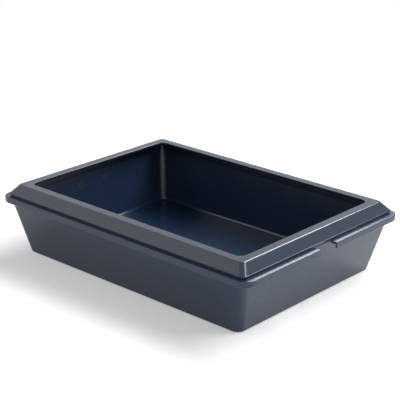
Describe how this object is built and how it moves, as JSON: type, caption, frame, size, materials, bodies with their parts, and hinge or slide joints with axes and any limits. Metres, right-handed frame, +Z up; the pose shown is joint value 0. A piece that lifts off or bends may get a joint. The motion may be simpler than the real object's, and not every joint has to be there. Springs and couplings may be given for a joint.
{
  "type": "litter tray",
  "caption": "Rectangular open-topped litter tray with drafted walls, a turned-down flange with finger notches, and a lift-off anti-scatter rim with a flat ring.",
  "frame": {"origin": "middle of the foot, on the surface that the tray stands on", "axes": "+X along the long side, +Y along the short side, +Z up out of the mouth"},
  "size_m": [0.42, 0.301, 0.0925],
  "materials": {
    "tray_plastic": "satin moulded polypropylene, dark navy blue",
    "rim_plastic": "satin moulded polypropylene, dark navy blue"
  },
  "bodies": {
    "tray": {"tray": "tray_plastic"},
    "rim": {"rim": "rim_plastic"}
  },
  "joints": [
    {"name": "rim_lift", "type": "slide", "parent": "tray", "child": "rim", "axis": [0, 0, 1], "range_m": [0, 0.06]}
  ]
}
